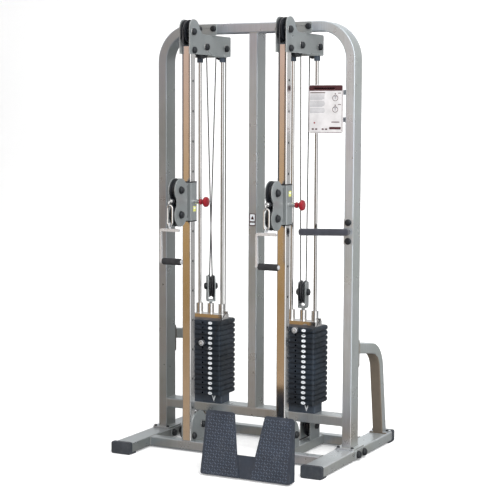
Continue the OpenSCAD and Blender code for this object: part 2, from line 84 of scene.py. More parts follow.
# ------------------------------------------------------------------ node helpers
class Mat:
    """Small helper that builds one procedural material."""

    def __init__(self, name):
        self.m = bpy.data.materials.new(name)
        self.m.use_nodes = True
        self.t = self.m.node_tree
        for n in list(self.t.nodes):
            self.t.nodes.remove(n)
        self.out = self.t.nodes.new("ShaderNodeOutputMaterial")
        self.b = self.t.nodes.new("ShaderNodeBsdfPrincipled")
        self.t.links.new(self.b.outputs[0], self.out.inputs[0])
        self.tc = self.t.nodes.new("ShaderNodeTexCoord")
        self.co = self.tc.outputs["Object"]

    def n(self, kind, **kw):
        n = self.t.nodes.new(kind)
        for k, v in kw.items():
            setattr(n, k, v)
        return n

    def link(self, a, b):
        self.t.links.new(a, b)

    def put(self, sock, v):
        if hasattr(v, "is_output"):
            self.link(v, sock)
        elif isinstance(v, (tuple, list)):
            sock.default_value = (*v, 1.0) if len(v) == 3 and sock.type == "RGBA" else v
        else:
            sock.default_value = v

    def scaled(self, s):
        n = self.n("ShaderNodeMapping")
        n.inputs["Scale"].default_value = s if isinstance(s, (tuple, list)) else (s, s, s)
        self.link(self.co, n.inputs[0])
        return n.outputs[0]

    def noise(self, scale, detail=3.0, rough=0.55, co=None):
        n = self.n("ShaderNodeTexNoise")
        n.inputs["Scale"].default_value = scale
        n.inputs["Detail"].default_value = detail
        n.inputs["Roughness"].default_value = rough
        self.link(co or self.co, n.inputs["Vector"])
        return n.outputs["Fac"]

    def voronoi(self, scale, co=None, out="Distance"):
        n = self.n("ShaderNodeTexVoronoi")
        n.inputs["Scale"].default_value = scale
        self.link(co or self.co, n.inputs["Vector"])
        return n.outputs[out]

    def ramp(self, fac, stops, interp="LINEAR"):
        n = self.n("ShaderNodeValToRGB")
        n.color_ramp.interpolation = interp
        e = n.color_ramp.elements
        while len(e) < len(stops):
            e.new(0.5)
        for i, (p, c) in enumerate(stops):
            e[i].position = p
            c = c if isinstance(c, (tuple, list)) else (c, c, c)
            e[i].color = (*c[:3], 1.0)
        self.link(fac, n.inputs[0])
        return n.outputs[0]

    def maths(self, op, a, b=None, clamp=False):
        n = self.n("ShaderNodeMath", operation=op, use_clamp=clamp)
        self.put(n.inputs[0], a)
        if b is not None:
            self.put(n.inputs[1], b)
        return n.outputs[0]

    def mix(self, fac, a, b, blend="MIX"):
        n = self.n("ShaderNodeMix", data_type="RGBA", blend_type=blend)
        self.put(n.inputs["Factor"], fac)
        self.put([s for s in n.inputs if s.name == "A" and s.type == "RGBA"][0], a)
        self.put([s for s in n.inputs if s.name == "B" and s.type == "RGBA"][0], b)
        return [s for s in n.outputs if s.type == "RGBA"][0]

    def map(self, v, a, b, c, d):
        n = self.n("ShaderNodeMapRange")
        self.put(n.inputs[0], v)
        for i, x in enumerate((a, b, c, d)):
            n.inputs[i + 1].default_value = x
        return n.outputs[0]

    def bump(self, height, strength, dist=0.001, normal=None):
        n = self.n("ShaderNodeBump")
        n.inputs["Strength"].default_value = strength
        n.inputs["Distance"].default_value = dist
        self.link(height, n.inputs["Height"])
        if normal is not None:
            self.link(normal, n.inputs["Normal"])
        return n.outputs[0]

    def edge(self, radius=0.003):
        """0..1 mask of edges, from the bevelled normal; used both for edge wear and for painted edge highlights."""
        bev = self.n("ShaderNodeBevel", samples=4)
        bev.inputs["Radius"].default_value = radius
        geo = self.n("ShaderNodeNewGeometry")
        dot = self.n("ShaderNodeVectorMath", operation="DOT_PRODUCT")
        self.link(bev.outputs[0], dot.inputs[0])
        self.link(geo.outputs["Normal"], dot.inputs[1])
        return self.map(dot.outputs["Value"], 1.0, 0.92, 0.0, 1.0)

    def set(self, **kw):
        for k, v in kw.items():
            self.put(self.b.inputs[k.replace("_", " ")], v)
        return self


def lin(r, g, b):
    f = lambda c: c / 12.92 if c <= 0.04045 else ((c + 0.055) / 1.055) ** 2.4
    return (f(r / 255), f(g / 255), f(b / 255))


def powder(name, rgb, metal=0.35, rough=0.42, grain=1.0, tint=0.06, edge_highlight=0.0):
    """Powder coat: fine orange peel, small flake, slow tone change."""
    m = Mat(name)
    slow = m.noise(5.0, 4.0)
    fine = m.noise(900.0, 2.0)
    flake = m.voronoi(1500.0, out="Color")
    sep = m.n("ShaderNodeSeparateColor")
    m.link(flake, sep.inputs[0])
    a = tuple(c * (1 - tint) for c in rgb)
    b = tuple(min(1, c * (1 + tint)) for c in rgb)
    base = m.ramp(slow, [(0.3, a), (0.7, b)])
    spark = m.map(sep.outputs[0], 0.0, 1.0, 0.86, 1.14)
    base = m.mix(0.55, base, m.mix(1.0, base, spark, "MULTIPLY"))
    scuff = m.ramp(m.noise(70.0, 6.0, 0.7), [(0.60, 0.0), (0.72, 1.0)])
    edge_wear_and_highlight = m.maths("MULTIPLY", m.edge(0.002), scuff, True)
    base = m.mix(m.maths("MULTIPLY", edge_wear_and_highlight, 0.45), base, tuple(min(1, c * 1.5) for c in rgb))
    # painted highlight: a pale line along every edge, not masked by scuffs
    if edge_highlight:
        base = m.mix(m.maths("MULTIPLY", m.edge(0.0022), edge_highlight), base, lin(232, 236, 238))
    r = m.map(m.noise(14.0, 5.0, 0.6), 0.25, 0.75, rough - 0.07, rough + 0.08)
    peel = m.bump(fine, 0.10 * grain, 0.0004)
    soft = m.bump(m.noise(160.0, 2.0), 0.05 * grain, 0.0008, peel)
    m.set(Base_Color=base, Metallic=metal, Roughness=r, Normal=soft)
    return m.m


def satin_frame(name):
    """Satin silver coat over steel: flake, orange peel, slow tone change, painted warm reflection low down, painted
    shade on faces turned to +X, painted light on faces turned up, painted light falloff from a darker left to a
    brighter right, painted bright edge highlights.
    """
    m = Mat(name)
    sep = m.n("ShaderNodeSeparateXYZ")
    m.link(m.co, sep.inputs[0])
    slow = m.noise(1.7, 4.0, 0.6)
    base = m.ramp(slow, [(0.30, lin(164, 172, 174)), (0.50, lin(180, 187, 194)), (0.70, lin(174, 177, 188))])
    # painted warm reflection and shade: browner and darker low down, in patches
    low = m.map(sep.outputs[2], 0.9, 0.05, 0.0, 1.0)
    low = m.maths("MULTIPLY", low, m.map(sep.outputs[2], 0.055, 0.12, 0.30, 1.0))
    patch = m.ramp(m.noise(2.6, 3.0), [(0.40, 0.0), (0.62, 1.0)])
    base = m.mix(m.maths("MULTIPLY", m.maths("MULTIPLY", low, patch), 0.62), base, lin(152, 134, 112))
    geo = m.n("ShaderNodeNewGeometry")
    gs = m.n("ShaderNodeSeparateXYZ")
    m.link(geo.outputs["Normal"], gs.inputs[0])
    # painted shade: faces turned to +X tinted a darker olive grey
    side_face_shade = m.map(gs.outputs[0], 0.6, 0.95, 0.0, 0.45)
    base = m.mix(side_face_shade, base, lin(148, 150, 138))
    # painted light: faces turned up are made paler
    top_face_highlight = m.map(gs.outputs[2], 0.7, 0.95, 0.0, 0.6)
    base = m.mix(top_face_highlight, base, lin(214, 221, 223))
    # painted light falloff: darker to the left, brighter to the right
    light_falloff_x = m.map(sep.outputs[0], -0.56, 0.56, 0.70, 1.22)
    base = m.mix(1.0, base, light_falloff_x, "MULTIPLY")
    flake = m.voronoi(1500.0, out="Color")
    fs = m.n("ShaderNodeSeparateColor")
    m.link(flake, fs.inputs[0])
    spark = m.map(fs.outputs[0], 0.0, 1.0, 0.88, 1.12)
    base = m.mix(0.4, base, m.mix(1.0, base, spark, "MULTIPLY"))
    drag = m.noise(1.0, 5.0, 0.65, m.scaled((160, 160, 5)))
    base = m.mix(m.map(drag, 0.45, 0.75, 0.0, 0.22), base, lin(128, 128, 126))
    # painted highlight: a bright line along every edge, not masked by scuffs
    edge_wear_and_highlight = m.edge(0.003)
    base = m.mix(m.maths("MULTIPLY", edge_wear_and_highlight, 0.65), base, lin(232, 234, 236))
    r = m.map(m.noise(11.0, 5.0, 0.6), 0.25, 0.75, 0.24, 0.38)
    n1 = m.bump(m.noise(900.0, 2.0), 0.04, 0.0004)
    n2 = m.bump(m.noise(120.0, 2.0), 0.03, 0.0009, n1)
    m.set(Base_Color=base, Metallic=0.72, Roughness=r, Normal=n2)
    return m.m


def chrome(name, rgb=(0.80, 0.79, 0.78), rough=0.07, axis=None, metal=1.0):
    """Plated steel: faint drawn lines, finger haze, small pits."""
    m = Mat(name)
    haze = m.noise(9.0, 5.0, 0.6)
    sc = {None: (220, 220, 220), "z": (900, 900, 14), "x": (14, 900, 900), "y": (900, 14, 900)}[axis]
    lines = m.noise(1.0, 4.0, 0.6, m.scaled(sc))
    pits = m.ramp(m.voronoi(240.0), [(0.02, 1.0), (0.06, 0.0)])
    r = m.map(haze, 0.3, 0.75, rough, rough + 0.09)
    r = m.maths("ADD", r, m.maths("MULTIPLY", lines, 0.05))
    col = m.mix(m.map(haze, 0.35, 0.7, 0.0, 0.25), rgb, tuple(c * 0.86 for c in rgb))
    col = m.mix(m.maths("MULTIPLY", pits, 0.25), col, tuple(c * 0.4 for c in rgb))
    nrm = m.bump(lines, 0.04, 0.0003)
    m.set(Base_Color=col, Metallic=metal, Roughness=r, Normal=nrm)
    return m.m


def black_metal(name, rgb, rough=0.38, spec=0.5):
    m = Mat(name)
    base = m.ramp(m.noise(8.0, 4.0), [(0.3, tuple(c * 0.8 for c in rgb)), (0.72, tuple(c * 1.3 for c in rgb))])
    rub = m.ramp(m.noise(90.0, 6.0, 0.7), [(0.56, 0.0), (0.70, 1.0)])
    edge_wear_and_highlight = m.maths("MULTIPLY", m.edge(0.0022), rub, True)
    base = m.mix(m.maths("MULTIPLY", edge_wear_and_highlight, 0.5), base, (0.22, 0.22, 0.23))
    dust = m.ramp(m.noise(30.0, 6.0, 0.75), [(0.5, 0.0), (0.8, 1.0)])
    base = m.mix(m.maths("MULTIPLY", dust, 0.06), base, (0.35, 0.34, 0.32))
    r = m.map(m.noise(22.0, 5.0), 0.3, 0.7, rough - 0.06, rough + 0.12)
    nrm = m.bump(m.noise(700.0, 2.0), 0.14, 0.0005)
    m.set(Base_Color=base, Metallic=0.0, Roughness=r, Specular_IOR_Level=spec, Normal=nrm)
    return m.m


def cast(name):
    """Painted cast plates: pebbled skin, blue-black, rubbed edges."""
    m = Mat(name)
    base = m.ramp(m.noise(6.0, 5.0), [(0.3, lin(14, 21, 28)), (0.72, lin(30, 41, 53))])
    chips = m.ramp(m.noise(120.0, 6.0, 0.72), [(0.60, 0.0), (0.70, 1.0)])
    edge_wear_and_highlight = m.maths("MULTIPLY", m.edge(0.003), chips, True)
    base = m.mix(m.maths("MULTIPLY", edge_wear_and_highlight, 0.7), base, lin(120, 124, 128))
    r = m.map(m.noise(40.0, 5.0), 0.3, 0.7, 0.38, 0.58)
    n1 = m.bump(m.noise(260.0, 4.0, 0.6), 0.35, 0.0012)
    n2 = m.bump(m.voronoi(420.0), 0.10, 0.0006, n1)
    m.set(Base_Color=base, Roughness=r, Specular_IOR_Level=0.55, Normal=n2)
    return m.m


def rubber(name, rgb, rough=0.7, ribs=None):
    m = Mat(name)
    base = m.ramp(m.noise(12.0, 5.0), [(0.3, tuple(c * 0.8 for c in rgb)), (0.75, tuple(c * 1.35 for c in rgb))])
    dust = m.ramp(m.noise(45.0, 6.0, 0.75), [(0.48, 0.0), (0.8, 1.0)])
    base = m.mix(m.maths("MULTIPLY", dust, 0.10), base, (0.30, 0.29, 0.27))
    h = m.noise(520.0, 3.0)
    nrm = m.bump(h, 0.25, 0.0006)
    if ribs:
        w = m.n("ShaderNodeTexWave", bands_direction=ribs[0])
        w.inputs["Scale"].default_value = ribs[1]
        m.link(m.co, w.inputs["Vector"])
        nrm = m.bump(w.outputs["Fac"], 0.5, 0.001, nrm)
    m.set(Base_Color=base, Roughness=rough, Specular_IOR_Level=0.35, Normal=nrm)
    return m.m


def foam(name, rgb):
    """Closed-cell foam sleeve: open pores, soft sheen."""
    m = Mat(name)
    base = m.ramp(m.noise(16.0, 5.0), [(0.3, tuple(c * 0.82 for c in rgb)), (0.75, tuple(c * 1.2 for c in rgb))])
    pores = m.voronoi(620.0)
    # painted shade: darker inside the open pores
    base = m.mix(m.map(pores, 0.0, 0.25, 0.5, 0.0), base, tuple(c * 0.35 for c in rgb))
    n1 = m.bump(pores, 0.35, 0.0008)
    n2 = m.bump(m.noise(180.0, 4.0), 0.25, 0.001, n1)
    m.set(Base_Color=base, Roughness=0.85, Specular_IOR_Level=0.25, Sheen_Weight=0.25, Sheen_Roughness=0.5, Normal=n2)
    return m.m


def plastic(name, rgb, rough=0.35, grain=0.12, scale=600.0, coat=0.0):
    m = Mat(name)
    base = m.ramp(m.noise(20.0, 4.0), [(0.3, tuple(c * 0.86 for c in rgb)), (0.72, tuple(min(1, c * 1.12) for c in rgb))])
    r = m.map(m.noise(35.0, 5.0), 0.3, 0.7, rough - 0.05, rough + 0.10)
    scr = m.noise(1.0, 6.0, 0.7, m.scaled((60, 500, 60)))
    n1 = m.bump(m.noise(scale, 3.0), grain, 0.0005)
    n2 = m.bump(scr, grain * 0.3, 0.0003, n1)
    m.set(Base_Color=base, Roughness=r, Specular_IOR_Level=0.5, Coat_Weight=coat, Coat_Roughness=0.12, Normal=n2)
    return m.m


def cable_mat(name):
    """Clear nylon over laid wire rope: fine diagonal lay under a gloss coat."""
    m = Mat(name)
    w = m.n("ShaderNodeTexWave", bands_direction="DIAGONAL")
    w.inputs["Scale"].default_value = 190.0
    w.inputs["Distortion"].default_value = 0.6
    m.link(m.co, w.inputs["Vector"])
    base = m.ramp(w.outputs["Fac"], [(0.2, lin(20, 20, 22)), (0.8, lin(48, 48, 52))])
    base = m.mix(m.maths("MULTIPLY", m.noise(30.0, 4.0), 0.2), base, lin(70, 70, 72))
    nrm = m.bump(w.outputs["Fac"], 0.25, 0.0004)
    m.set(Base_Color=base, Roughness=0.35, Coat_Weight=0.5, Coat_Roughness=0.15, Normal=nrm)
    return m.m


M = {
    "frame": satin_frame("satin_silver_coat"),
    # the last argument paints bright edge highlights on the brackets
    "silver": powder("bracket_silver_coat", lin(140, 145, 146), 0.50, 0.32, 0.8, 0.12, 0.5),
    "weld": powder("painted_weld", lin(160, 160, 158), 0.6, 0.36, 1.4, 0.14),
    "column": chrome("column_chrome", (0.80, 0.79, 0.78), 0.10, "z"),
    "rod": chrome("guide_rod_chrome", (0.60, 0.59, 0.58), 0.06, "z"),
    "chrome": chrome("fitting_chrome", (0.80, 0.79, 0.78), 0.08),
    "fitting": chrome("plated_fitting", (0.56, 0.57, 0.59), 0.20, metal=0.5),
    "shade": powder("shaded_silver_coat", lin(116, 106, 94), 0.35, 0.38, 0.8, 0.12),
    "chrome_x": chrome("turned_chrome", (0.78, 0.77, 0.76), 0.10, "x"),
    "black": black_metal("satin_black_coat", lin(38, 41, 46)),
    "bolt": black_metal("black_cap", lin(22, 25, 29), 0.34),
    "brace": black_metal("black_tread_coat", lin(40, 47, 58), 0.45),
    # painted highlight: the raised tread is coloured lighter and bluer than the brace
    "tread": black_metal("tread_tops_painted_highlight", lin(60, 69, 84), 0.40, 0.6),
    "yellow": plastic("yellow_tab", lin(206, 208, 110), 0.4, 0.05),
    "maroon": plastic("dark_red_border", lin(62, 30, 34), 0.45, 0.04),
    "cast": cast("painted_cast_plate"),
    "cap": rubber("moulded_rubber_cap", lin(52, 56, 62), 0.55),
    "seat": rubber("stack_seat_rubber", lin(50, 58, 68), 0.55),
    "grip": rubber("grip_rubber", lin(40, 40, 42), 0.6, ("X", 120.0)),
    "foam": foam("foam_sleeve", lin(52, 53, 60)),
    "nylon": plastic("moulded_nylon", lin(22, 24, 28), 0.27, 0.08),
    "liner": plastic("liner_nylon", lin(24, 24, 26), 0.45, 0.10),
    "red": plastic("red_knob_plastic", lin(128, 10, 26), 0.30, 0.05, 300.0, 0.4),
    "white": plastic("white_sheet", lin(190, 188, 189), 0.32, 0.03),
    "label": plastic("white_label", lin(222, 226, 230), 0.35, 0.03),
    "ink": plastic("dark_print", lin(58, 62, 70), 0.45, 0.03),
    "ink2": plastic("grey_print", lin(128, 130, 136), 0.45, 0.03),
    "cable": cable_mat("coated_cable"),
    "cord": rubber("lanyard_cord", lin(26, 26, 28), 0.55),
}


# ------------------------------------------------------------------ object helpers
def obj(name, me, mat, body=None, smooth=True, angle=35.0):
    o = bpy.data.objects.new(name, me)
    COL.objects.link(o)
    for m in (mat if isinstance(mat, (list, tuple)) else [mat]):
        me.materials.append(m)
    if smooth:
        for p in me.polygons:
            p.use_smooth = True
        me.set_sharp_from_angle(angle=math.radians(angle))
    if body:
        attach(o, body)
    return o


def mesh(name, bm):
    me = bpy.data.meshes.new(name)
    bmesh.ops.recalc_face_normals(bm, faces=bm.faces[:])
    bm.to_mesh(me)
    bm.free()
    return me


def sweep(bm, pts, r, n=12, closed=False, mat=0, wob=None):
    """Round section along a list of points, with caps when open."""
    pts = [Vector(p) for p in pts]
    k = len(pts)
    up, rings = None, []
    for i, p in enumerate(pts):
        if closed:
            t = (pts[(i + 1) % k] - pts[i - 1]).normalized()
        else:
            t = (pts[min(i + 1, k - 1)] - pts[max(i - 1, 0)]).normalized()
        if up is None:
            a = Vector((0, 0, 1)) if abs(t.z) < 0.9 else Vector((1, 0, 0))
            up = (a - t * a.dot(t)).normalized()
        else:
            up = (up - t * up.dot(t)).normalized()
        side = t.cross(up)
        rr = r if wob is None else r * wob(i)
        rings.append([bm.verts.new(p + (up * math.cos(2 * math.pi * j / n) + side * math.sin(2 * math.pi * j / n)) * rr) for j in range(n)])
    for i in range(k if closed else k - 1):
        a, b = rings[i], rings[(i + 1) % k]
        for j in range(n):
            f = bm.faces.new((a[j], a[(j + 1) % n], b[(j + 1) % n], b[j]))
            f.material_index = mat
    if not closed:
        for ring in (rings[0][::-1], rings[-1]):
            f = bm.faces.new(ring)
            f.material_index = mat
    return rings


def line(a, b, n):
    a, b = Vector(a), Vector(b)
    return [a.lerp(b, i / n) for i in range(n + 1)]


def arc(cx, c, r, a0, a1, n):
    """Points in the YZ plane, angle from +Y towards +Z."""
    return [Vector((cx, c.y + r * math.cos(math.radians(a0 + (a1 - a0) * i / n)), c.z + r * math.sin(math.radians(a0 + (a1 - a0) * i / n)))) for i in range(n + 1)]


def lathe(bm, prof, at, axis, n=28, mat=0):
    """Turned piece: prof is (radius, distance along axis)."""
    at, axis = Vector(at), Vector(axis).normalized()
    a = Vector((0, 0, 1)) if abs(axis.z) < 0.9 else Vector((1, 0, 0))
    u = (a - axis * a.dot(axis)).normalized()
    v = axis.cross(u)
    rings = []
    for r, h in prof:
        if r < 1e-7:
            rings.append([bm.verts.new(at + axis * h)])
        else:
            rings.append([bm.verts.new(at + axis * h + (u * math.cos(2 * math.pi * j / n) + v * math.sin(2 * math.pi * j / n)) * r) for j in range(n)])
    for p, q in zip(rings, rings[1:]):
        for j in range(n):
            k = (j + 1) % n
            if len(p) == 1 and len(q) == 1:
                continue
            if len(p) == 1:
                f = bm.faces.new((p[0], q[j], q[k]))
            elif len(q) == 1:
                f = bm.faces.new((p[j], p[k], q[0]))
            else:
                f = bm.faces.new((p[j], p[k], q[k], q[j]))
            f.material_index = mat


def slab(bm, outline, t, to, mat=0):
    """Flat piece from a closed outline (list of (u, v)), thickness t, placed by the 4x4 matrix to."""
    lo = [bm.verts.new(to @ Vector((u, v, 0))) for u, v in outline]
    hi = [bm.verts.new(to @ Vector((u, v, t))) for u, v in outline]
    fs = [bm.faces.new(lo[::-1]), bm.faces.new(hi)]
    k = len(lo)
    for i in range(k):
        fs.append(bm.faces.new((lo[i], lo[(i + 1) % k], hi[(i + 1) % k], hi[i])))
    for f in fs:
        f.material_index = mat
    return fs


def rrect(w, h, r, n=4, cx=0.0, cy=0.0):
    p = []
    for sx, sy, a0 in ((1, 1, 0), (-1, 1, 90), (-1, -1, 180), (1, -1, 270)):
        for i in range(n + 1):
            a = math.radians(a0 + 90 * i / n)
            p.append((cx + sx * (w / 2 - r) + r * math.cos(a), cy + sy * (h / 2 - r) + r * math.sin(a)))
    return p


def facing_front(x, y, z):
    """Local u to +X, v to +Z, thickness towards -Y."""
    return Matrix(((1, 0, 0, x), (0, 0, -1, y), (0, 1, 0, z), (0, 0, 0, 1)))


# ------------------------------------------------------------------ CAD nodes: materials, welds, small bevels
def dress(node, mats, pick=None, bevel=None, angle=32.0, seg=2, facing=None):
    o = N[node]
    me = o.data
    me.materials.clear()
    mats = mats if isinstance(mats, (list, tuple)) else [mats]
    for m in mats:
        me.materials.append(m)
    for p in me.polygons:
        p.material_index = facing(p.normal) if facing else pick(p.center) if pick else 0
        p.use_smooth = True
    w = o.modifiers.new("weld", "WELD")
    w.merge_threshold = 0.00002
    if bevel:
        b = o.modifiers.new("bevel", "BEVEL")
        b.width = bevel
        b.segments = seg
        b.limit_method = "ANGLE"
        b.angle_limit = math.radians(angle)
        b.use_clamp_overlap = True
        b.harden_normals = False
    s = o.modifiers.new("smooth", "WEIGHTED_NORMAL")
    s.keep_sharp = True
    me.set_sharp_from_angle(angle=math.radians(40))


dress("arch_frame", M["frame"], bevel=0.0012)
dress("center_frame", M["frame"], bevel=0.0012)
dress("base_frame", M["frame"], bevel=0.0012)
dress("rear_braces", [M["frame"], M["shade"]], bevel=0.0012, facing=lambda n: 1 if n.y < -0.35 else 0)
dress("end_caps", M["cap"], bevel=0.0015)
dress("upright_saddles", M["frame"], bevel=0.001)
dress("columns", M["column"], bevel=0.0008)
dress("pulley_brackets", M["silver"], bevel=0.0009)
dress("guide_rods", M["rod"])
dress("stack_seats", M["seat"], bevel=0.002)
dress("resting_plates", M["cast"], bevel=0.0012)
gb_lo, gb_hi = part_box("grab_bar")
dress("grab_bar", [M["foam"], M["frame"]], lambda c: 1 if c.y > Y0 - 0.0735 and c.x > 0.49 and c.y > Y0 - 0.052 else 0, bevel=0.0008)
dress("placard", [M["white"], M["frame"]], lambda c: 1 if c.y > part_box("placard")[0].y + 0.0035 else 0, bevel=0.0006)
dress("foot_brace", M["brace"], bevel=0.001)
dress("frame_bolts", M["bolt"], bevel=0.0008)
dress("cables", M["cable"])
for sd, cx in SIDES:
    dress("sleeve_" + sd, [M["silver"], M["chrome_x"]], lambda c, cx=cx: 1 if c.x - cx > 0.0302 else 0, bevel=0.001)
    dress("liners_" + sd, M["liner"], bevel=0.0006)
    dress("pull_pin_" + sd, [M["red"], M["rod"]], lambda c, cx=cx: 1 if c.x - cx < 0.0625 else 0, bevel=0.0012)
    dress("housing_" + sd, [M["silver"], M["bolt"]], lambda c, cx=cx: 1 if abs(c.x - cx) > 0.0191 else 0, bevel=0.0009)
    for p in ("upper_pulley_", "lower_pulley_", "top_front_pulley_", "top_mid_pulley_", "top_rear_pulley_", "base_front_pulley_", "base_rear_pulley_", "float_pulley_"):
        dress(p + sd, M["nylon"], bevel=0.0009)
    dress("snap_hook_" + sd, [M["chrome"], M["nylon"]], lambda c: 1 if (c - Vector((c.x, -0.305, c.z))).length < 0.017 and c.z > 1.23 and c.y > -0.3165 and c.y < -0.288 else 0)
    dress("handle_frame_" + sd, M["fitting"], bevel=0.0012)
    dress("grip_" + sd, M["grip"], bevel=0.0015)
    dress("stack_head_" + sd, M["chrome"], bevel=0.0014)
    dress("lifted_plates_" + sd, M["cast"], bevel=0.0012)
    dress("selector_pin_" + sd, M["fitting"], bevel=0.001)
    fc = centre("float_pulley_" + sd)
    yaw = math.radians(38 if sd == "left" else 10)
    ax = Vector((math.cos(yaw), math.sin(yaw), 0))
    dress("float_bracket_" + sd, [M["silver"], M["bolt"]], lambda c, fc=fc, ax=ax: 1 if abs((c - fc).dot(ax)) > 0.0202 else 0, bevel=0.0009)


# ------------------------------------------------------------------ cable runs and wraps
def cable_piece(name, pts, body=None, blend=None, n=14, r=CAB):
    bm = bmesh.new()
    sweep(bm, pts, r, n)
    o = obj(name, mesh(name, bm), M["cable"], None)
    if blend:
        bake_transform(o)
    else:
        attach(o, body)
    return o


for sd, cx in SIDES:
    up = centre("upper_pulley_" + sd)
    run_y = up.y + RUN
    a, b = Vector((cx, run_y, TF.z)), Vector((cx, run_y, up.z))
    o = cable_piece("front_run_" + sd, line(a, b, 60), blend=("machine", "carriage_" + sd, a, b))
    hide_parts("cable_front_" + sd)
    ry = BF.y - RUN
    zc = (centre("upper_pulley_" + sd).z + centre("lower_pulley_" + sd).z) / 2
    a, b = Vector((cx, ry, BF.z)), Vector((cx, ry, zc - 0.030))
    o = cable_piece("rear_run_" + sd, line(a, b, 60), blend=("machine", "carriage_" + sd, a, b))
    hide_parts("cable_rear_" + sd)
    # the two legs over the stack
    f = centre("float_pulley_" + sd)
    w = math.radians(38 if sd == "left" else 10)
    bm = bmesh.new()
    low1 = Vector((cx + RUN * math.sin(w), Y0 - RUN * math.cos(w), f.z))
    low2 = Vector((cx - RUN * math.sin(w), Y0 + RUN * math.cos(w), f.z))
    sweep(bm, line((cx, Y0 - RUN, TM.z), low1, 60), CAB, 14)
    sweep(bm, line((cx, Y0 + RUN, TR.z), low2, 60), CAB, 14)
    o = obj("stack_run_" + sd, mesh("stack_run_" + sd, bm), M["cable"], None)
    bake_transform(o)
    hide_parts("cable_stack_" + sd)
    # wrap under the floating pulley
    d = Vector((-math.sin(w), math.cos(w), 0))
    pts = [f + d * (RUN * math.cos(math.radians(q))) + Vector((0, 0, RUN * math.sin(math.radians(q)))) for q in range(180, 361, 6)]
    cable_piece("float_wrap_" + sd, pts, "float_bracket_" + sd)
    # wrap of the carriage pulley, then the short lead to the stop ball
    pts = [Vector((cx, up.y + RUN * math.cos(math.radians(q)), up.z + RUN * math.sin(math.radians(q)))) for q in range(0, -91, -5)]
    cable_piece("carriage_wrap_" + sd, pts, "housing_" + sd)
    hz = up.z - RUN
    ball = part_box("snap_hook_" + sd)
    end = Vector((cx, -0.305, hz))
    a, b = Vector((cx, up.y, hz)), end
    cable_piece("lead_" + sd, line(a, b, 48), blend=("housing_" + sd, "hook_" + sd, a, b))


# ------------------------------------------------------------------ weld beads
def bead(bm, path, r=0.0024, step=0.0035, seed=1):
    """Rippled fillet along a closed path."""
    rnd = random.Random(seed)
    path = [Vector(p) for p in path]
    pts = []
    for i, p in enumerate(path):
        q = path[(i + 1) % len(path)]
        k = max(1, int((q - p).length / step))
        pts += [p.lerp(q, j / k) for j in range(k)]
    wob = [0.86 + 0.22 * (i % 2) + rnd.uniform(-0.05, 0.05) for i in range(len(pts))]
    sweep(bm, pts, r, 6, True, 0, lambda i: wob[i])


def rect_path(c, u, v, w, h, r=0.006):
    c, u, v = Vector(c), Vector(u), Vector(v)
    return [c + u * a + v * b for a, b in rrect(w, h, r, 3)]


X, Y, Z = Vector((1, 0, 0)), Vector((0, 1, 0)), Vector((0, 0, 1))
bm = bmesh.new()
ft, fl, cbz, cbt, barb = 0.054, 0.008, 0.163, 0.211, 2.060
k = 0
for s in (-1, 1):
    k += 1
    bead(bm, rect_path((s * 0.514, Y0, ft + fl), X, Y, 0.048, 0.092), seed=k)
    bead(bm, rect_path((s * 0.490, Y0, cbz + 0.024), Y, Z, 0.092, 0.048), seed=k + 10)
bead(bm, rect_path((0, Y0, cbt), X, Y, 0.048, 0.092), seed=31)
bead(bm, rect_path((0, Y0, barb), X, Y, 0.048, 0.092), seed=32)
for s in (-1, 1):
    for yy in (-0.141, 0.310):
        if s > 0 or yy > 0 or True:
            bead(bm, rect_path((s * 0.464, yy, 0.030), Y, Z, 0.048, 0.048), seed=40 + k)
            k += 1
    bead(bm, rect_path((s * 0.258, Y0 + 0.2010 - 0.0, 0.030), X, Z, 0.048, 0.048), seed=50 + k)
    bead(bm, rect_path((s * 0.258, -0.141, ft), X, Y, 0.048, 0.048), seed=60 + k)
    k += 1
weld = mesh("frame_welds", bm)
obj("frame_welds", weld, M["weld"], "machine")


# ------------------------------------------------------------------ plate labels
def label_set(name, body, cx, zs, start):
    """White oval tags with plain numerals at the right of each plate's front edge."""
    lo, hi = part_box("resting_plates")
    y = lo.y
    bm = bmesh.new()
    for i, z in enumerate(zs):
        ell = [(0.0115 * math.cos(2 * math.pi * j / 28), 0.0072 * math.sin(2 * math.pi * j / 28)) for j in range(28)]
        slab(bm, ell, 0.0005, facing_front(cx + 0.043, y + 0.00015, z), 0)
    o = obj(name + "_ovals", mesh(name + "_ovals", bm), M["label"], body, angle=30)
    for i, z in enumerate(zs):
        cu = bpy.data.curves.new(name + "_t", "FONT")
        cu.body = str((start + i) * 10)
        cu.size = 0.0095
        cu.align_x, cu.align_y = "CENTER", "CENTER"
        cu.extrude = 0.0001
        t = bpy.data.objects.new(name + "_t", cu)
        COL.objects.link(t)
        t.matrix_world = Matrix(((1, 0, 0, cx + 0.043), (0, 0, -1, y - 0.00045), (0, 1, 0, z), (0, 0, 0, 1)))
        bpy.context.view_layer.update()
        dg = bpy.context.evaluated_depsgraph_get()
        me = bpy.data.meshes.new_from_object(t.evaluated_get(dg))
        me.transform(t.matrix_world)
        me.materials.clear()
        bpy.data.objects.remove(t)
        obj("%s_number_%02d" % (name, start + i), me, M["ink"], body, smooth=False)


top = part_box("lifted_plates_left")[1].z
PT = 0.0254
for sd, cx, nl in (("left", -0.258, 5), ("right", 0.258, 1)):
    zs = [top - (i + 0.5) * PT for i in range(15)]
    label_set("tags_up_" + sd, "stack_" + sd, cx, zs[:nl], 1)
    label_set("tags_low_" + sd, "machine", cx, zs[nl:], nl + 1)


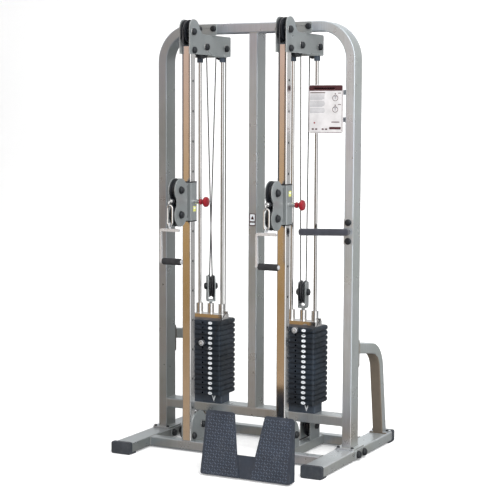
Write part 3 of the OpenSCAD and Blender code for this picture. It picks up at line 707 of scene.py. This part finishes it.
# ------------------------------------------------------------------ lanyards from the head ear to the selector pins
for sd, cx in SIDES:
    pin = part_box("selector_pin_" + sd)
    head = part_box("stack_head_" + sd)
    pz = (pin[0].z + pin[1].z) / 2
    e = Vector((cx + 0.0955, Y0, top + 0.032))
    k0 = Vector((cx, pin[0].y + 0.012, pz))
    p = [e, e + Vector((0.006, -0.03, 0.0)), e + Vector((0.004, -0.075, -0.03)),
         Vector((cx + 0.085, Y0 - 0.105, (e.z + pz) / 2 - 0.02)), Vector((cx + 0.050, k0.y + 0.004, pz - 0.022)), k0 + Vector((0.010, 0, -0.012))]
    pts = []
    for i in range(len(p) - 1):
        p0, p1, p2, p3 = p[max(i - 1, 0)], p[i], p[i + 1], p[min(i + 2, len(p) - 1)]
        for j in range(10):
            t = j / 10
            pts.append(0.5 * ((2 * p1) + (p2 - p0) * t + (2 * p0 - 5 * p1 + 4 * p2 - p3) * t * t + (3 * p1 - p0 - 3 * p2 + p3) * t ** 3))
    pts.append(p[-1])
    bm = bmesh.new()
    sweep(bm, pts, 0.0016, 8)
    o = obj("lanyard_" + sd, mesh("lanyard_" + sd, bm), M["cord"], None)
    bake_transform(o)


for sd, cx in SIDES:
    q0, q1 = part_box("selector_pin_" + sd)
    bm = bmesh.new()
    lathe(bm, [(0.0070, 0.0), (0.0070, 0.0004), (0.0088, 0.0004), (0.0088, 0.0), (0.0070, 0.0)], (cx, q0.y + 0.0001, (q0.z + q1.z) / 2), (0, -1, 0), 28)
    lathe(bm, [(0.0151, -0.0035), (0.0154, -0.0045), (0.0154, -0.0115), (0.0151, -0.0125), (0.0149, -0.0125), (0.0149, -0.0035), (0.0151, -0.0035)], (cx, q0.y, (q0.z + q1.z) / 2), (0, -1, 0), 28)
    obj("selector_ring_" + sd, mesh("selector_ring_" + sd, bm), M["bolt"], "selector_pin_" + sd)


# ------------------------------------------------------------------ placard print, generic blocks only
pl_lo, pl_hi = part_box("placard")
bm = bmesh.new()
px, pz, py = (pl_lo.x + 0.473) / 2, (pl_lo.z + pl_hi.z) / 2, pl_lo.y


def block(w, h, cx, cz, mat, r=0.002):
    slab(bm, rrect(w, h, min(r, w / 2.1, h / 2.1), 3), 0.0003, facing_front(px + cx, py + 0.0001, pz + cz), mat)


def band(w, h, cx, cz, mat):
    """Square-cornered strip."""
    slab(bm, [(cx + w / 2, cz + h / 2), (cx - w / 2, cz + h / 2), (cx - w / 2, cz - h / 2), (cx + w / 2, cz - h / 2)], 0.0003, facing_front(px, py + 0.0001, pz), mat)


# dark head with the sheet's own rounded top corners, and a thin border down the sides and foot
head = [(a_, b_) for a_, b_ in rrect(0.174, 0.224, 0.008, 6) if b_ > 0.088] + [(-0.087, 0.0865), (0.087, 0.0865)]
head.sort(key=lambda q: math.atan2(q[1] - 0.098, q[0]))
slab(bm, head, 0.0003, facing_front(px, py + 0.0001, pz), 0)
for sx in (-1, 1):
    band(0.0018, 0.190, sx * 0.0860, -0.010, 0)
band(0.164, 0.0018, 0, -0.1110, 0)
band(0.110, 0.0060, -0.006, 0.0985, 2)
band(0.078, 0.0045, -0.042, 0.0770, 0)
rs = random.Random(5)
for blk, (z0, n) in enumerate(((0.067, 5), (0.034, 5), (0.001, 4))):
    for i in range(n):
        w = 0.080 - (rs.random() * 0.022 if i == n - 1 else rs.random() * 0.005)
        block(w, 0.0022, -0.042 + (w - 0.080) / 2, z0 - i * 0.0058, 1, 0.0008)
for z0 in (0.056, 0.002):
    lathe(bm, [(0.0125, 0), (0.0125, 0.0003), (0.0148, 0.0003), (0.0148, 0), (0.0125, 0)], (px + 0.050, py + 0.0001, pz + z0 - 0.004), (0, -1, 0), 28, 0)
    block(0.006, 0.006, 0.050, z0 + 0.016, 0, 0.0028)
    block(0.0040, 0.014, 0.050, z0 - 0.002, 1, 0.0015)
    block(0.018, 0.0030, 0.050, z0 + 0.004, 1, 0.001)
    block(0.016, 0.003, 0.072, z0 + 0.019, 0, 0.001)
block(0.008, 0.008, -0.058, -0.066, 3, 0.003)
block(0.042, 0.0045, 0.052, -0.062, 0, 0.001)
for x0 in (-0.066, -0.048, -0.014, 0.004):
    block(0.011, 0.007, x0, -0.096, 0, 0.001)
block(0.060, 0.012, 0.050, -0.091, 0, 0.002)
obj("placard_print", mesh("placard_print", bm), [M["maroon"], M["ink2"], M["label"], M["red"]], "machine", smooth=False)


# ------------------------------------------------------------------ raised tread on the foot brace
bm = bmesh.new()
th = math.radians(11)
org = Vector((0.258, Y0 - 0.625, 0.008))
U, V = Vector((1, 0, 0)), Vector((0, math.sin(th), math.cos(th)))
W = U.cross(V)                       # towards the user
pitch = 0.0140


def tread_at(u, v, turn):
    a, b, h = 0.0076, 0.0023, 0.0013
    c, s = math.cos(turn), math.sin(turn)
    base = org + U * u + V * v
    q = [(a, 0), (a * 0.45, b), (-a * 0.45, b), (-a, 0), (-a * 0.45, -b), (a * 0.45, -b)]
    rot = lambda x, y: base + U * (x * c - y * s) + V * (x * s + y * c)
    lo = [bm.verts.new(rot(x, y) + W * -0.0002) for x, y in q]
    hi = [bm.verts.new(rot(x * 0.62, y * 0.45) + W * h) for x, y in q]
    bm.faces.new(hi)
    for i in range(6):
        bm.faces.new((lo[i], lo[(i + 1) % 6], hi[(i + 1) % 6], hi[i]))


nu, nv = int(0.44 / pitch), int(0.28 / pitch)
for i in range(-nu // 2, nu // 2 + 1):
    for j in range(nv):
        u, v = i * pitch, 0.012 + j * pitch
        x = abs(u)
        # inner slanted edge of each wing runs from x 0.028 at the foot to about 0.077 at the top
        inner = 0.028 + (0.077 - 0.028) * v / 0.285
        outer = 0.220 if v < 0.27 else 0.213
        if x - 0.006 < inner or x + 0.006 > outer or v + 0.006 > 0.288:
            continue
        tread_at(u, v, math.radians(45 if (i + j) % 2 else -45))
obj("foot_brace_tread", mesh("foot_brace_tread", bm), M["tread"], "machine", angle=20)


# ------------------------------------------------------------------ washers over the plain caps
def washer(bm, at, axis, r0, r1, t):
    lathe(bm, [(r0, 0), (r1 - 0.0006, 0), (r1, 0.0005), (r1, t - 0.0005), (r1 - 0.0006, t), (r0, t), (r0, 0)], at, axis, 32)


bm = bmesh.new()
for sd, cx in SIDES:
    for c in (TF, TM, TR, BF, BR):
        for s in (-1, 1):
            washer(bm, (cx + s * 0.029, c.y, c.z), (s, 0, 0), 0.014, 0.0200, 0.0020)
for s in (-1, 1):
    for zz in (1.064, 1.153):
        pass
obj("bracket_washers", mesh("bracket_washers", bm), M["chrome_x"], "machine")

# ------------------------------------------------------------------ small plain tabs and marks, no lettering
bm = bmesh.new()
for sd, cx in SIDES:
    zc = (centre("upper_pulley_" + sd).z + centre("lower_pulley_" + sd).z) / 2
    off = -0.036 if sd == "left" else 0.052
    to = Matrix(((0, 0, 1, cx + 0.0301), (1, 0, 0, -0.141 + 0.004), (0, 1, 0, zc + off), (0, 0, 0, 1)))
    b1 = bmesh.new()
    slab(b1, rrect(0.026, 0.026, 0.002, 3), 0.0003, to, 0)
    slab(b1, rrect(0.016, 0.007, 0.001, 2, 0, 0.004), 0.0005, to, 1)
    obj("sleeve_tab_" + sd, mesh("sleeve_tab_" + sd, b1), [M["yellow"], M["label"]], "carriage_" + sd, smooth=False)
slab(bm, rrect(0.034, 0.062, 0.002, 3), 0.0003, facing_front(0.0, Y0 - 0.046 + 0.0001, 1.147), 0)
slab(bm, rrect(0.026, 0.034, 0.002, 3, 0, 0.010), 0.0005, facing_front(0.0, Y0 - 0.046 + 0.0001, 1.147), 1)
slab(bm, rrect(0.026, 0.012, 0.001, 2, 0, -0.020), 0.0005, facing_front(0.0, Y0 - 0.046 + 0.0001, 1.147), 1)
slab(bm, [(-0.009, 0.002), (0.009, 0.002), (0.0, 0.020)], 0.0007, facing_front(0.0, Y0 - 0.046 + 0.0001, 1.147), 0)
obj("upright_tab", mesh("upright_tab", bm), [M["maroon"], M["label"]], "machine", smooth=False)
# arrow at the foot of each stack, pointing at the pin column
bm = bmesh.new()
seat_lo, seat_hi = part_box("stack_seats")
for sd, cx in SIDES:
    slab(bm, [(-0.011, 0.014), (-0.0045, 0.014), (0.0, -0.004), (0.0045, 0.014), (0.011, 0.014), (0.0, -0.017)], 0.0004,
         facing_front(cx + 0.043, seat_lo.y + 0.0001, 0.236), 0)
obj("stack_arrows", mesh("stack_arrows", bm), M["label"], "machine", smooth=False)

# ------------------------------------------------------------------ painted shade: dark sleeves standing in for the shade inside the adjustment holes
bm = bmesh.new()
for sd, cx in SIDES:
    for i in range(12):
        lathe(bm, [(0.00595, 0.0), (0.00595, -0.0085), (0.0053, -0.0085), (0.0053, 0.0), (0.00595, 0.0)], (cx + 0.02405, -0.141, 0.2176 + 0.146 * i), (1, 0, 0), 20)
obj("column_hole_painted_shade", mesh("column_hole_painted_shade", bm), M["bolt"], "machine")

# ------------------------------------------------------------------ raised rings on the big caps
def cap_ring(bm, at, axis, h, r=0.0088):
    lathe(bm, [(0.0, h - 0.0004), (r - 0.0034, h - 0.0004), (r - 0.0028, h + 0.0008), (r - 0.0004, h + 0.0008), (r + 0.0006, h - 0.0012)], at, axis, 24)


bm = bmesh.new()
for sd, cx in SIDES:
    for c in (TF, TM, TR, BF, BR):
        for q in (-1, 1):
            cap_ring(bm, (cx + q * 0.029, c.y, c.z), (q, 0, 0), 0.015)
    for z in (1.972, 0.078):
        for q in (-1, 1):
            cap_ring(bm, (cx + q * 0.029, -0.141, z), (q, 0, 0), 0.014)
obj("cap_rings", mesh("cap_rings", bm), M["bolt"], "machine")
for sd, cx in SIDES:
    bm = bmesh.new()
    for p_ in ("upper_pulley_", "lower_pulley_"):
        c = centre(p_ + sd)
        for q in (-1, 1):
            cap_ring(bm, (cx + q * 0.019, c.y, c.z), (q, 0, 0), 0.015)
            washer(bm, (cx + q * 0.019, c.y, c.z), (q, 0, 0), 0.014, 0.0192, 0.0016)
    obj("housing_cap_rings_" + sd, mesh("housing_cap_rings_" + sd, bm), M["bolt"], "housing_" + sd)

# ------------------------------------------------------------------ stage
fm = bpy.data.meshes.new("studio_floor")
b2 = bmesh.new()
# one sheet: floor, sweep and back wall
prof = [(-9.0, 0.0)] + [(5.5 + 2.5 * math.sin(math.radians(a)), 2.5 - 2.5 * math.cos(math.radians(a))) for a in range(0, 91, 6)] + [(8.0, 9.0)]
rows = [[b2.verts.new((x, y, z - 0.0005)) for x in (-11, -4, 4, 11)] for y, z in prof]
for p, q in zip(rows, rows[1:]):
    for i in range(3):
        b2.faces.new((p[i], p[i + 1], q[i + 1], q[i]))
bmesh.ops.recalc_face_normals(b2, faces=b2.faces[:])
b2.to_mesh(fm)
b2.free()
floor = bpy.data.objects.new("studio_floor", fm)
COL.objects.link(floor)
for p in fm.polygons:
    p.use_smooth = True
sm = Mat("studio_paper")
sm.set(Base_Color=sm.ramp(sm.noise(1.5, 3.0), [(0.3, 0.90), (0.7, 0.93)]), Roughness=0.9, Specular_IOR_Level=0.1,
       Emission_Color=(1.0, 1.0, 1.0), Emission_Strength=0.16)
fm.materials.append(sm.m)
floor.visible_glossy = False

# ------------------------------------------------------------------ world: white for the eye and for diffuse light, warm room for reflections
world = bpy.data.worlds.new("studio")
bpy.context.scene.world = world
world.use_nodes = True
wt = world.node_tree
for n in list(wt.nodes):
    wt.nodes.remove(n)
wo = wt.nodes.new("ShaderNodeOutputWorld")
plainbg = wt.nodes.new("ShaderNodeBackground")
plainbg.inputs[0].default_value = (1.0, 1.0, 1.0, 1)
plainbg.inputs[1].default_value = 0.62
room = wt.nodes.new("ShaderNodeBackground")
room.inputs[1].default_value = 1.0
lp = wt.nodes.new("ShaderNodeLightPath")
tc = wt.nodes.new("ShaderNodeTexCoord")
sp = wt.nodes.new("ShaderNodeSeparateXYZ")
wt.links.new(tc.outputs["Generated"], sp.inputs[0])


def wramp(fac, lo, hi, stops):
    mr = wt.nodes.new("ShaderNodeMapRange")
    mr.inputs[1].default_value, mr.inputs[2].default_value = lo, hi
    wt.links.new(fac, mr.inputs[0])
    r = wt.nodes.new("ShaderNodeValToRGB")
    while len(r.color_ramp.elements) < len(stops):
        r.color_ramp.elements.new(0.5)
    for i, (p, c) in enumerate(stops):
        r.color_ramp.elements[i].position = (p - lo) / (hi - lo)
        r.color_ramp.elements[i].color = (*c, 1)
    wt.links.new(mr.outputs[0], r.inputs[0])
    return r.outputs[0]


# direction round the vertical axis, in degrees: 0 is +X, 90 is the back, -90 is the front
at2 = wt.nodes.new("ShaderNodeMath")
at2.operation = "ARCTAN2"
wt.links.new(sp.outputs[1], at2.inputs[0])
wt.links.new(sp.outputs[0], at2.inputs[1])
deg = wt.nodes.new("ShaderNodeMath")
deg.operation = "MULTIPLY"
deg.inputs[1].default_value = 180.0 / math.pi
wt.links.new(at2.outputs[0], deg.inputs[0])
G = lambda v: (v, v, v)
around = wramp(deg.outputs[0], -180.0, 180.0, [
    (-180, G(0.30)), (-150, G(0.22)), (-138, G(0.55)), (-96, G(0.55)), (-88, G(0.20)), (-64, G(0.34)),
    (-56, G(2.0)), (-8, G(1.7)), (2, G(0.50)), (44, G(0.50)), (90, G(0.54)), (142, G(0.55)), (168, G(0.40)), (180, G(0.30))])
flank = wramp(deg.outputs[0], -180.0, 180.0, [(-180, G(0)), (92, G(0)), (102, G(1)), (130, G(1)), (140, G(0)), (180, G(0))])
below = wramp(sp.outputs[2], -0.2, 0.2, [(-0.2, G(1)), (0.0, G(1)), (0.045, G(0)), (0.2, G(0))])
patch = wramp(deg.outputs[0], -180.0, 180.0, [(-180, G(0)), (-137, G(0)), (-131, G(1)), (-103, G(1)), (-97, G(0)), (180, G(0))])
tan = wramp(sp.outputs[2], -0.5, 0.9, [
    (-0.5, (0.05, 0.05, 0.05)), (-0.30, (0.12, 0.11, 0.10)), (-0.24, (0.46, 0.36, 0.27)), (-0.205, (0.52, 0.38, 0.26)), (-0.172, (0.56, 0.38, 0.22)),
    (-0.155, (0.30, 0.18, 0.08)), (-0.138, (0.27, 0.16, 0.06)), (-0.115, (0.38, 0.23, 0.07)), (-0.08, (0.52, 0.33, 0.13)), (-0.03, (0.60, 0.41, 0.22)),
    (0.02, (0.68, 0.48, 0.39)), (0.06, (0.72, 0.53, 0.46)), (0.10, (0.76, 0.58, 0.50)), (0.9, (1.0, 1.0, 1.0))])
lift = wramp(sp.outputs[2], -1.0, 1.0, [(-1.0, G(0.30)), (-0.30, G(0.42)), (-0.16, G(0.70)), (-0.06, G(1.0)), (0.05, G(1.18)), (0.45, G(1.25)), (1.0, G(1.6))])


def wmix(fac, a, b, blend="MIX"):
    n = wt.nodes.new("ShaderNodeMix")
    n.data_type, n.blend_type = "RGBA", blend
    if isinstance(fac, float):
        n.inputs["Factor"].default_value = fac
    else:
        wt.links.new(fac, n.inputs["Factor"])
    wt.links.new(a, [q for q in n.inputs if q.name == "A" and q.type == "RGBA"][0])
    wt.links.new(b, [q for q in n.inputs if q.name == "B" and q.type == "RGBA"][0])
    return [q for q in n.outputs if q.type == "RGBA"][0]


dark = wt.nodes.new("ShaderNodeRGB")
dark.outputs[0].default_value = (0.07, 0.07, 0.075, 1)
room_light = wmix(wmix(1.0, flank, below, "MULTIPLY"), wmix(1.0, around, lift, "MULTIPLY"), dark.outputs[0])
wt.links.new(wmix(patch, room_light, tan), room.inputs[0])
mixg = wt.nodes.new("ShaderNodeMixShader")
wt.links.new(lp.outputs["Is Glossy Ray"], mixg.inputs[0])
wt.links.new(plainbg.outputs[0], mixg.inputs[1])
wt.links.new(room.outputs[0], mixg.inputs[2])
wt.links.new(mixg.outputs[0], wo.inputs[0])


def area(name, at, look, size, power, colour=(1, 1, 1), glossy=True):
    l = bpy.data.lights.new(name, "AREA")
    l.shape = "RECTANGLE"
    l.size, l.size_y = size
    l.energy = power
    l.color = colour
    o = bpy.data.objects.new(name, l)
    COL.objects.link(o)
    o.location = at
    o.rotation_euler = (Vector(look) - Vector(at)).to_track_quat("-Z", "Y").to_euler()
    o.visible_glossy = glossy
    return o


area("key", (2.6, -2.6, 2.6), (0.2, 0.1, 1.0), (1.6, 2.6), 150, (1.0, 0.995, 0.985), False)
area("fill", (-3.6, -3.0, 2.2), (0, 0.1, 1.0), (2.5, 2.5), 18, (1.0, 1.0, 1.0), False)
area("top", (0.5, 0.0, 4.6), (0, 0.2, 0.0), (4.0, 3.0), 95, (1.0, 1.0, 1.0), False)
area("backwash", (0.0, 4.5, 5.5), (0.0, 8.0, 2.0), (6.0, 2.0), 260, (1.0, 1.0, 1.0), False)

# ------------------------------------------------------------------ camera at the photo's angle
cam = bpy.data.cameras.new("view")
cam.lens_unit = "MILLIMETERS"
cam.sensor_width = 36.0
cam.lens = 1419.05 / 500.0 * 36.0
cam.clip_end = 60
co = bpy.data.objects.new("view", cam)
COL.objects.link(co)
yawc, pit, rol = math.radians(27.18), math.radians(5.37), math.radians(0.26)
fwd = Vector((-math.sin(yawc) * math.cos(pit), math.cos(yawc) * math.cos(pit), -math.sin(pit)))
right = Vector((math.cos(yawc), math.sin(yawc), 0))
upv = right.cross(fwd)
r2 = right * math.cos(rol) + upv * math.sin(rol)
u2 = -right * math.sin(rol) + upv * math.cos(rol)
co.matrix_world = Matrix(((r2.x, u2.x, -fwd.x, 3.17475), (r2.y, u2.y, -fwd.y, -6.16837), (r2.z, u2.z, -fwd.z, 1.65309), (0, 0, 0, 1)))
bpy.context.scene.camera = co
bpy.context.scene.view_settings.view_transform = "Standard"
bpy.context.scene.view_settings.look = "None"
